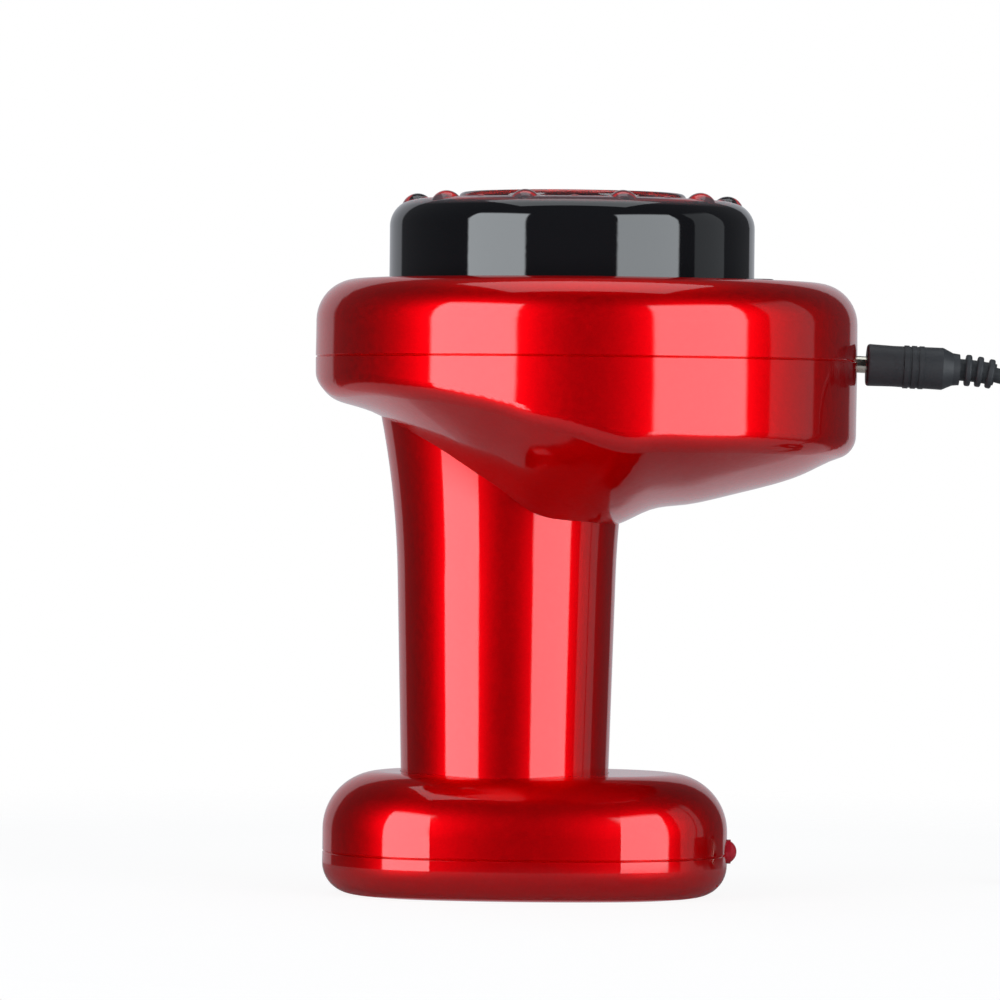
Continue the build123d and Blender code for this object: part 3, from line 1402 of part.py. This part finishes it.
with BuildPart() as usb_plug_tongue:
    with BuildSketch(Plane.YZ.offset(shell_tip + usb_tongue_recess)):
        with Locations((usb_axis[0], usb_axis[1] + usb_tongue_shift)):
            Rectangle(usb_tongue_width, usb_tongue_height)
    extrude(amount=usb_shell_length - usb_tongue_recess)
save(usb_plug_tongue, "usb_plug_tongue")
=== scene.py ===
"""Looks of the electric cupping massager: paint, smoke cup with the red lamps and a painted glow beneath
it, lead, studio and camera.
"""
import math

import bpy
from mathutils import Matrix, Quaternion, Vector


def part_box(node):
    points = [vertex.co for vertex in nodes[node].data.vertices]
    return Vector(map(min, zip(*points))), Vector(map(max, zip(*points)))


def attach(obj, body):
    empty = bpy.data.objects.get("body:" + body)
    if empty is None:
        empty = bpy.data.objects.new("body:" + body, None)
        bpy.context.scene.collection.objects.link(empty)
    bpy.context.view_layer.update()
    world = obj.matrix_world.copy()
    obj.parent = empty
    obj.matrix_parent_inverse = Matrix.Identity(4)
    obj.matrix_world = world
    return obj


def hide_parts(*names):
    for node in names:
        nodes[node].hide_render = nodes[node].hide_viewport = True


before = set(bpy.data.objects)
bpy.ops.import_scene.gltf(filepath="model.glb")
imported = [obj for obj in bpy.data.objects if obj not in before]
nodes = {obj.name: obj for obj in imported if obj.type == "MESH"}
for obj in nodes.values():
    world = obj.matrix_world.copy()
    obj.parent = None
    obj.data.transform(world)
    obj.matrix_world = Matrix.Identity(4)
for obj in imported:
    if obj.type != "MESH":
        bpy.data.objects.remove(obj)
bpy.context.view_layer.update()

scene = bpy.context.scene
millimetre = 0.001

# Camera at the photograph's place, with the object's slight lean
camera_place = Vector((-17.3, -1360, 93.4)) * millimetre
camera_target = Vector((-17.52, 0, 81.25)) * millimetre
camera_roll = math.radians(0.6)
camera_lens = 237.4

camera_data = bpy.data.cameras.new("camera")
camera_data.lens = camera_lens
camera_data.clip_start = 0.1
camera_data.clip_end = 100
camera = bpy.data.objects.new("camera", camera_data)
camera.rotation_mode = "QUATERNION"
camera.location = camera_place
look = (camera_target - camera_place).to_track_quat("-Z", "Y")
camera.rotation_quaternion = look @ Quaternion((0, 0, 1), camera_roll)
scene.collection.objects.link(camera)
scene.camera = camera

# Lead: the route's points in millimetres, then the turns of the coil
cord_diameter = 3.1
relief_end = (84.2099, 0.0, 108.1081)
cord_route = (
    relief_end,
    (98.8487, 0.0, 104.836),
    (110.0, 0.6, 92.0),
    (114.0, 1.2, 66.0),
    (112.6, 1.0, 40.0),
    (115.0, 0.3, 20.5),
    (122.0, -0.6, 6.6),
    (134.8, -1.0, 1.55),
    (148.2, -1.0, 1.55),
)
coil_mean_radius = 17.0
coil_pitch = 3.55
coil_rise = 3.55
coil_half_turns = 7
coil_points_per_half_turn = 8
coil_total = 2 * coil_half_turns + 1
coil_spread = coil_pitch * coil_total / 8
coil_centre = Vector((151.3, -1.0 + coil_mean_radius + coil_spread, 1.55))
cord_tail = ((148.3, 46.31, 5.0), (143.0, 46.31, 4.4), (139.3, 46.31, 4.4))


def coil_point(half_turns):
    """A control point of the coil after a number of half turns."""
    climb = min(max(half_turns - coil_half_turns, 0), 1)
    outward = coil_pitch * abs(half_turns - coil_total / 2) / 2
    radius = (coil_mean_radius - coil_spread + outward) / math.cos(math.pi / coil_points_per_half_turn / 2)
    angle = math.pi * (half_turns - 0.5)
    height = coil_rise * climb * climb * (3 - 2 * climb)
    return coil_centre + Vector((radius * math.cos(angle), radius * math.sin(angle), height))


coil_points = [coil_point((i + 0.5) / coil_points_per_half_turn)
               for i in range(coil_total * coil_points_per_half_turn)]
cord_points = [Vector(point) for point in cord_route] + coil_points + [Vector(point) for point in cord_tail]
cord_curve = bpy.data.curves.new("charging_cord", "CURVE")
cord_curve.dimensions = "3D"
cord_curve.bevel_depth = 1.0
cord_curve.bevel_resolution = 6
cord_curve.use_fill_caps = True
cord_curve.resolution_u = 8
spline = cord_curve.splines.new("NURBS")
spline.points.add(len(cord_points) - 1)
for control, point in zip(spline.points, cord_points):
    control.co = (*(point * millimetre), 1)
    control.radius = cord_diameter / 2 * millimetre
spline.order_u = 3
spline.use_endpoint_u = True
charging_cord = bpy.data.objects.new("charging_cord", cord_curve)
scene.collection.objects.link(charging_cord)
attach(charging_cord, "charging_lead")
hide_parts("cord_lead", "cord_coil")


# The cup's axis and the radius of its side wall, in metres
flange_width = 0.0026
cup_low, cup_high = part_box("massage_cup")
cup_x = (cup_low[0] + cup_high[0]) / 2
cup_radius = (cup_high[0] - cup_low[0]) / 2 - flange_width


def add_node(node_tree, kind, inputs=(), **attributes):
    """Adds a shader node, sets its attributes and links or sets its inputs by name or number."""
    made = node_tree.nodes.new("ShaderNode" + kind)
    for key, value in attributes.items():
        setattr(made, key, value)
    for key, value in dict(inputs).items():
        if isinstance(value, bpy.types.NodeSocket):
            node_tree.links.new(value, made.inputs[key])
        else:
            made.inputs[key].default_value = value
    return made


class Shader:
    """A node material under construction."""

    def __init__(self, name, **settings):
        self.material = bpy.data.materials.new(name)
        self.material.use_nodes = True
        self.tree = self.material.node_tree
        self.surface = self.tree.nodes["Principled BSDF"]
        self.output = self.tree.nodes["Material Output"]
        self.place = self.tree.nodes.new("ShaderNodeTexCoord").outputs["Object"]
        for key, value in settings.items():
            self.surface.inputs[key.replace("_", " ")].default_value = value

    def node(self, kind, inputs=(), **attributes):
        """Adds a node to the material."""
        return add_node(self.tree, kind, inputs, **attributes)

    def noise(self, scale, detail=2.0, roughness=0.5):
        """Noise over the object's own coordinates, with a scale in cells per metre."""
        inputs = {"Vector": self.place, "Scale": scale, "Detail": detail, "Roughness": roughness}
        return self.node("TexNoise", inputs).outputs["Fac"]

    def cells(self, scale, feature="F1", output="Distance"):
        """Voronoi cells over the object's own coordinates."""
        inputs = {"Vector": self.place, "Scale": scale}
        return self.node("TexVoronoi", inputs, feature=feature).outputs[output]

    def ranged(self, value, low, high, to_low, to_high):
        """A value carried from one range to another."""
        inputs = {0: value, 1: low, 2: high, 3: to_low, 4: to_high}
        return self.node("MapRange", inputs).outputs[0]

    def blended(self, factor, first, second):
        """Two colours blended by a factor."""
        mix = self.node("Mix", {0: factor}, data_type="RGBA")
        for socket, value in ((mix.inputs[6], first), (mix.inputs[7], second)):
            if isinstance(value, bpy.types.NodeSocket):
                self.tree.links.new(value, socket)
            else:
                socket.default_value = (*value, 1)
        return mix.outputs[2]

    def maths(self, operation, first, second=0.0):
        """One step of arithmetic."""
        return self.node("Math", {0: first, 1: second}, operation=operation).outputs[0]

    def bump(self, height, strength, distance, base=None):
        """A bump from a height, over another bump where one is given."""
        inputs = {"Height": height, "Strength": strength, "Distance": distance}
        if base is not None:
            inputs["Normal"] = base
        return self.node("Bump", inputs).outputs["Normal"]

    def set(self, key, value):
        """Links a value to the surface."""
        self.tree.links.new(value, self.surface.inputs[key])

    def radius(self, x=0.0, y=0.0):
        """The distance from an upright axis, in metres."""
        parts = self.node("SeparateXYZ", {0: self.place})
        across = self.maths("SUBTRACT", parts.outputs[0], x)
        along = self.maths("SUBTRACT", parts.outputs[1], y)
        squares = self.maths("ADD", self.maths("POWER", across, 2.0), self.maths("POWER", along, 2.0))
        return self.maths("SQRT", squares)


def paint(names, shader):
    """Gives a finished material to the named pieces."""
    for name in names:
        target = nodes[name] if name in nodes else bpy.data.objects[name]
        target.data.materials.clear()
        target.data.materials.append(shader.material)


def moulded(name, color, spread=0.25, rough=0.5, grain=1800.0, relief=0.05, **settings):
    """A moulded material: a base colour with faint clouds, uneven gloss and a fine grain."""
    shader = Shader(name, **settings)
    darker = tuple(channel * (1 - spread) for channel in color)
    clouds = shader.noise(grain / 20, 3.0)
    shader.set("Base Color", shader.blended(clouds, darker, color))
    shader.set("Roughness", shader.ranged(shader.noise(grain / 6), 0.3, 0.7, rough - 0.06, rough + 0.06))
    shader.set("Normal", shader.bump(shader.noise(grain), relief, 0.0002))
    return shader


# Candy red paint: a metallic red base with fine flake under a clear coat
candy = Shader("candy_red", Metallic=1.0, Coat_Weight=1.0, Coat_Roughness=0.06, Coat_IOR=1.5)
flake = candy.cells(2600.0, output="Color")
sparkle = candy.ranged(candy.node("SeparateColor", {0: flake}).outputs[0], 0.0, 1.0, 0.0, 0.35)
candy.set("Base Color", candy.blended(sparkle, (0.76, 0.0, 0.003), (0.62, 0.0, 0.002)))
candy.surface.inputs["Specular Tint"].default_value = (1.0, 0.06, 0.05, 1)
candy.set("Roughness", candy.ranged(candy.noise(900.0), 0.3, 0.7, 0.42, 0.48))
candy.set("Coat Normal", candy.bump(candy.noise(160.0, 1.0), 0.04, 0.0003))
candy.set("Normal", candy.bump(candy.cells(2600.0), 0.06, 0.0001))
paint(("head_cover", "head_shell", "handle_tube", "foot_shell", "foot_cover"), candy)

# Smoke-grey translucent cup: clear face and bowl; the thick side wall is dark smoke with painted shade,
# near-black and opaque, standing in for the unlit inside seen through it
smoke = Shader("smoke_cup", Roughness=0.04, IOR=1.62)
# painted shade: towards the outer wall the colour goes near-black and no light passes through
shaded_wall_share = smoke.ranged(smoke.radius(x=cup_x), cup_radius - 0.0042, cup_radius - 0.0016, 0.0, 1.0)
haze = smoke.noise(60.0, 3.0)
clear_smoke = smoke.blended(haze, (0.16, 0.14, 0.15), (0.21, 0.185, 0.20))
smoke.set("Base Color", smoke.blended(shaded_wall_share, clear_smoke, (0.006, 0.006, 0.007)))
smoke.set("Transmission Weight", smoke.ranged(shaded_wall_share, 0.0, 1.0, 0.9, 0.0))
smoke.set("Normal", smoke.bump(smoke.noise(300.0), 0.02, 0.0003))
paint(("massage_cup",), smoke)

# Glow below the cup: red lamps that shine, and their light painted on the board as a red glow, brightest in
# the middle
glow = Shader("board_painted_glow", Roughness=0.6)
glow_radius = glow.radius(x=cup_x)
# painted light: the board glows though it is no lamp, strongest near the middle, standing in for the lamps'
# light falling on it
painted_glow_level = glow.ranged(glow_radius, 0.004, 0.028, 1.0, 0.25)
glow.set("Base Color", glow.blended(glow.noise(500.0), (0.5, 0.02, 0.01), (0.6, 0.05, 0.02)))
glow.set("Emission Color", glow.blended(painted_glow_level, (0.8, 0.006, 0.006), (1.0, 0.035, 0.02)))
glow.set("Emission Strength", glow.maths("MULTIPLY", painted_glow_level, 9.0))
paint(("light_board",), glow)
lamp = moulded("red_lamp", (0.9, 0.08, 0.05), rough=0.15)
lamp.surface.inputs["Emission Color"].default_value = (1.0, 0.07, 0.04, 1)
lamp.surface.inputs["Emission Strength"].default_value = 10.0
paint(("red_lamps",), lamp)

# Heater ring with fine concentric tracks, with the lamps' red light painted on the tracks as a faint red
# glow
heater = Shader("heater_tracks_painted_glow", Roughness=0.4)
track = heater.maths("SINE", heater.maths("MULTIPLY", heater.radius(x=cup_x), 2 * math.pi / 0.0026))
track_and_glow_share = heater.ranged(track, -0.2, 1.0, 0.0, 1.0)
# the tracks are real; their red colour and glow are painted light from the lamps
heater.set("Base Color", heater.blended(track_and_glow_share, (0.14, 0.11, 0.12), (0.42, 0.03, 0.03)))
heater.set("Emission Color", heater.blended(track_and_glow_share, (0.20, 0.05, 0.06), (0.9, 0.02, 0.02)))
heater.surface.inputs["Emission Strength"].default_value = 1.2
paint(("heater_ring",), heater)

# Small parts and inner pieces
slate = Shader("panel_slate", Roughness=0.12, Coat_Weight=1.0, Coat_Roughness=0.04)
slate.set("Base Color", slate.blended(slate.noise(120.0, 3.0), (0.012, 0.016, 0.024), (0.02, 0.026, 0.036)))
slate.set("Normal", slate.bump(slate.noise(400.0), 0.02, 0.0002))
paint(("control_panel", "key_heat", "key_power", "key_suction"), slate)
rubber = moulded("lead_rubber", (0.022, 0.024, 0.028), rough=0.55, relief=0.15)
paint(("plug_body", "strain_relief", "usb_plug_body", "charging_cord"), rubber)
socket = moulded("socket_black", (0.03, 0.02, 0.022), rough=0.4)
paint(("charge_jack", "key_switches", "board_chips"), socket)
led = Shader("foot_lamp_red", Roughness=0.08, IOR=1.5)
led.surface.inputs["Transmission Weight"].default_value = 0.4
led.surface.inputs["Emission Color"].default_value = (1.0, 0.05, 0.07, 1)
led.surface.inputs["Emission Strength"].default_value = 0.03
led.set("Base Color", led.blended(led.noise(300.0), (0.43, 0.010, 0.026), (0.55, 0.018, 0.04)))
paint(("foot_lamp", "indicator_lamps"), led)
port = moulded("port_rose", (0.42, 0.17, 0.18), rough=0.3)
paint(("suction_port",), port)
board = Shader("circuit_board", Roughness=0.4)
trace = board.ranged(board.cells(400.0, feature="DISTANCE_TO_EDGE"), 0.02, 0.06, 0.0, 1.0)
board.set("Base Color", board.blended(trace, (0.02, 0.16, 0.05), (0.008, 0.07, 0.022)))
board.set("Normal", board.bump(trace, 0.1, 0.0001))
paint(("control_board", "main_board", "lamp_board"), board)
natural = moulded("inner_plastic", (0.75, 0.74, 0.70), rough=0.45)
paint(("light_tub", "frame_plate", "battery_carrier", "air_block", "pump_housing", "pump_rocker",
       "pump_cap", "usb_plug_tongue"), natural)
silicone = moulded("soft_silicone", (0.30, 0.30, 0.31), rough=0.55)
paint(("cup_seal", "air_hose", "pump_diaphragm"), silicone)
steel = moulded("zinc_steel", (0.55, 0.56, 0.58), rough=0.32, grain=3000.0, Metallic=1.0)
paint(("frame_screws", "clamp_screws", "handle_screws", "foot_screws", "board_screws", "bracket_screws",
       "handle_clamp", "pump_bracket", "pump_motor", "pump_rotor", "pump_shaft", "valve_spring",
       "battery_spring", "battery_contact", "valve_plunger", "release_valve"), steel)
plated = moulded("plated_contact", (0.75, 0.70, 0.60), rough=0.18, grain=4000.0, Metallic=1.0)
paint(("plug_barrel", "usb_plug_shell", "jack_pin"), plated)
brass = moulded("turned_brass", (0.70, 0.50, 0.20), rough=0.3, Metallic=1.0)
paint(("pump_eccentric",), brass)
wrap = moulded("cell_wrap", (0.05, 0.18, 0.45), rough=0.3)
paint(("battery_cell",), wrap)

# Pale floor that fades into the white of the background
floor_size = 0.9
fade_start = 0.24
fade_end = 0.42
gloss_start = 0.10
gloss_end = 0.14
contact_gap = 0.0008
shine_strength = 1.2
shine_share = 0.75
floor_mesh = bpy.data.meshes.new("floor")
half = floor_size / 2
floor_mesh.from_pydata([(-half, -half, 0), (half, -half, 0), (half, half, 0), (-half, half, 0)], [],
                       [(0, 1, 2, 3)])
floor = bpy.data.objects.new("floor", floor_mesh)
scene.collection.objects.link(floor)
ground = Shader("pale_floor", Roughness=0.9)
ground.set("Base Color", ground.blended(ground.noise(40.0), (0.39, 0.39, 0.40), (0.42, 0.42, 0.43)))
shine = ground.node("Emission", {"Color": (1, 1, 1, 1), "Strength": shine_strength})
path = ground.node("LightPath")
seen_shine = ground.maths("MULTIPLY", path.outputs["Is Camera Ray"], shine_share)
lit = ground.node("MixShader", {0: seen_shine, 1: ground.surface.outputs[0], 2: shine.outputs[0]})
fade = ground.ranged(ground.radius(), fade_start, fade_end, 0.0, 1.0)
clear = ground.node("BsdfTransparent")
beyond = ground.ranged(ground.radius(), gloss_start, gloss_end, 0.0, 1.0)
unreflected = ground.maths("MULTIPLY", beyond, path.outputs["Is Glossy Ray"])
unseen = ground.maths("MAXIMUM", fade, unreflected)
touching = ground.maths("LESS_THAN", path.outputs["Ray Length"], contact_gap)
unlit = ground.maths("MAXIMUM", touching, ground.node("NewGeometry").outputs["Backfacing"])
hidden = ground.maths("MAXIMUM", unseen, unlit)
whole = ground.node("MixShader", {0: hidden, 1: lit.outputs[0], 2: clear.outputs[0]})
ground.tree.links.new(whole.outputs[0], ground.output.inputs["Surface"])
floor.data.materials.append(ground.material)

# World: white to the camera, dim fill for diffuse light, and for reflections dark with a pale backdrop
world = bpy.data.worlds.new("studio")
scene.world = world
world.use_nodes = True
world_tree = world.node_tree
background = world_tree.nodes["Background"]
backdrop_way = (-0.1145, 0.9934, 0.0)
backdrop_level = 0.6
front_level = 0.02
back_level = 0.08
floor_level = 0.45
fill_level = 0.25
white = (1, 1, 1, 1)
cool_white = (0.90, 0.93, 1.0, 1)


def world_node(kind, inputs=(), **attributes):
    """Adds a node to the world."""
    return add_node(world_tree, kind, inputs, **attributes)


way = world_node("TexCoord").outputs["Generated"]
direction = world_node("SeparateXYZ", {0: way})
facing = world_node("VectorMath", {0: way, 1: backdrop_way}, operation="DOT_PRODUCT")
backdrop = world_node("MapRange", {0: facing.outputs["Value"], 1: 0.79, 2: 0.82, 3: 0.0, 4: backdrop_level})
sides = world_node("MapRange", {0: direction.outputs[1], 1: -0.2, 2: 0.7, 3: front_level, 4: back_level})
below = world_node("MapRange", {0: direction.outputs[2], 1: -0.34, 2: -0.40, 3: 0.0, 4: floor_level})
walls = world_node("Math", {0: backdrop.outputs[0], 1: sides.outputs[0]}, operation="MAXIMUM")
around = world_node("Math", {0: walls.outputs[0], 1: below.outputs[0]}, operation="MAXIMUM")
rays = world_node("LightPath")
camera_part = world_node("Mix", {0: rays.outputs["Is Camera Ray"], 2: fill_level, 3: 1.0})
glossy_part = world_node("Mix", {0: rays.outputs["Is Glossy Ray"], 2: camera_part.outputs[0],
                                 3: around.outputs[0]})
world_tree.links.new(glossy_part.outputs[0], background.inputs["Strength"])
tone = world_node("Mix", {0: rays.outputs["Is Camera Ray"], 6: cool_white, 7: white}, data_type="RGBA")
world_tree.links.new(tone.outputs[2], background.inputs["Color"])

# Lights: upright soft boxes around the object and one above it
light_color = (0.90, 0.96, 1.0)
softbox_distance = 1.3
softbox_height = 1.54
softbox_centre = 0.37
softbox_edges = (0.05, 0.15)
top_box_place = (0, 0.2, 1.7)
power_per_radiance = 4


def area_light(name, width, height, radiance):
    """A rectangular soft light that the camera doesn't see."""
    data = bpy.data.lights.new(name, "AREA")
    data.shape = "RECTANGLE"
    data.size = width
    data.size_y = height
    data.energy = radiance * width * height * power_per_radiance
    data.color = light_color
    light = bpy.data.objects.new(name, data)
    light.visible_camera = False
    scene.collection.objects.link(light)
    return light


def soften(data, edge_shares):
    """Dims a light softly towards its edges, over a share of its width and of its height."""
    data.use_nodes = True
    light_tree = data.node_tree
    parametric = add_node(light_tree, "NewGeometry").outputs["Parametric"]
    place = add_node(light_tree, "SeparateXYZ", {0: parametric})
    ramps = []
    for axis, share in enumerate(edge_shares):
        from_edge = add_node(light_tree, "Math", {0: place.outputs[axis], 1: 0.5}, operation="PINGPONG")
        ramp = add_node(light_tree, "MapRange", {0: from_edge.outputs[0], 2: share},
                        interpolation_type="SMOOTHSTEP")
        ramps.append(ramp.outputs[0])
    strength = add_node(light_tree, "Math", {0: ramps[0], 1: ramps[1]}, operation="MULTIPLY")
    light_tree.links.new(strength.outputs[0], light_tree.nodes["Emission"].inputs["Strength"])


def softbox(name, angle, width, radiance):
    """An upright soft light at an angle from the camera's side, facing the object."""
    light = area_light(name, width, softbox_height, radiance)
    soften(light.data, softbox_edges)
    turn = math.radians(angle)
    across = softbox_distance * math.sin(turn)
    towards_camera = softbox_distance * math.cos(turn)
    light.location = (across, -towards_camera, softbox_centre)
    light.rotation_mode = "QUATERNION"
    light.rotation_quaternion = Vector((-across, towards_camera, 0)).to_track_quat("-Z", "Y")


softbox("left_box", -49, 0.96, 4.0)
softbox("right_box", 48.2, 1.05, 3.3)
softbox("right_strip", 95.7, 0.68, 0.3)
top_box = area_light("top_box", 1.3, 1.2, 1.1)
top_box.location = top_box_place

scene.view_settings.view_transform = "Standard"
